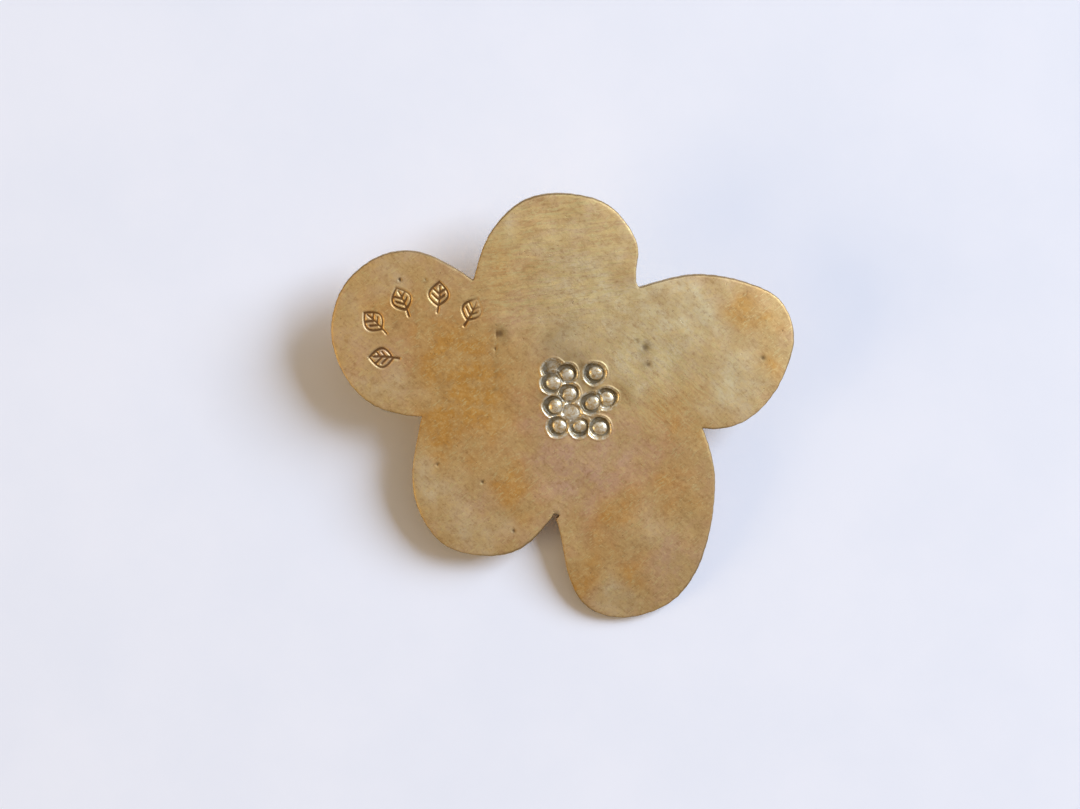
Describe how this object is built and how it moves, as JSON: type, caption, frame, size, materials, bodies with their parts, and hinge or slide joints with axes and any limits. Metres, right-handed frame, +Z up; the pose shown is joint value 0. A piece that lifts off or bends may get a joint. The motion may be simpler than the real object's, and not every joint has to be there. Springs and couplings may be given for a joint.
{
  "type": "hat pin",
  "caption": "Flat sheet-brass flower with five rounded petals and a punched centre, worn by a hinged pin and a turning safety catch on its back.",
  "frame": {"origin": "middle of the base of the pin's box, on the table that it rests on", "axes": "+Z up from the table, out of the flower's front; +X across the flower, along the pin from its joint to its catch; +Y towards the top petal"},
  "size_m": [0.046, 0.0424, 0.0089],
  "materials": {
    "aged_brass": "matte, lightly tarnished and scratched",
    "finding_brass": "satin",
    "barrel_brass": "satin",
    "rivet_brass": "satin",
    "pin_steel": "drawn wire, polished point",
    "solder": "dull silver solder"
  },
  "bodies": {
    "brooch": {"flower_plate": "aged_brass", "joint_patch": "finding_brass", "joint_solder": "solder", "joint_box": "finding_brass", "joint_rivet": "rivet_brass", "catch_patch": "finding_brass", "catch_solder": "solder", "catch_housing": "finding_brass"},
    "pin": {"pin_stem": "pin_steel"},
    "barrel": {"catch_barrel": "barrel_brass"}
  },
  "joints": [
    {"name": "pin_hinge", "type": "hinge", "parent": "brooch", "child": "pin", "pos_m": [-0.00845, 0.0059, 0.00162], "axis": [0, 0.9832, 0.1826], "range_deg": [0, 110]},
    {"name": "barrel_turn", "type": "hinge", "parent": "brooch", "child": "barrel", "pos_m": [0.0084, 0.0059, 0.00162], "axis": [1, 0, 0], "range_deg": [0, 80]}
  ]
}
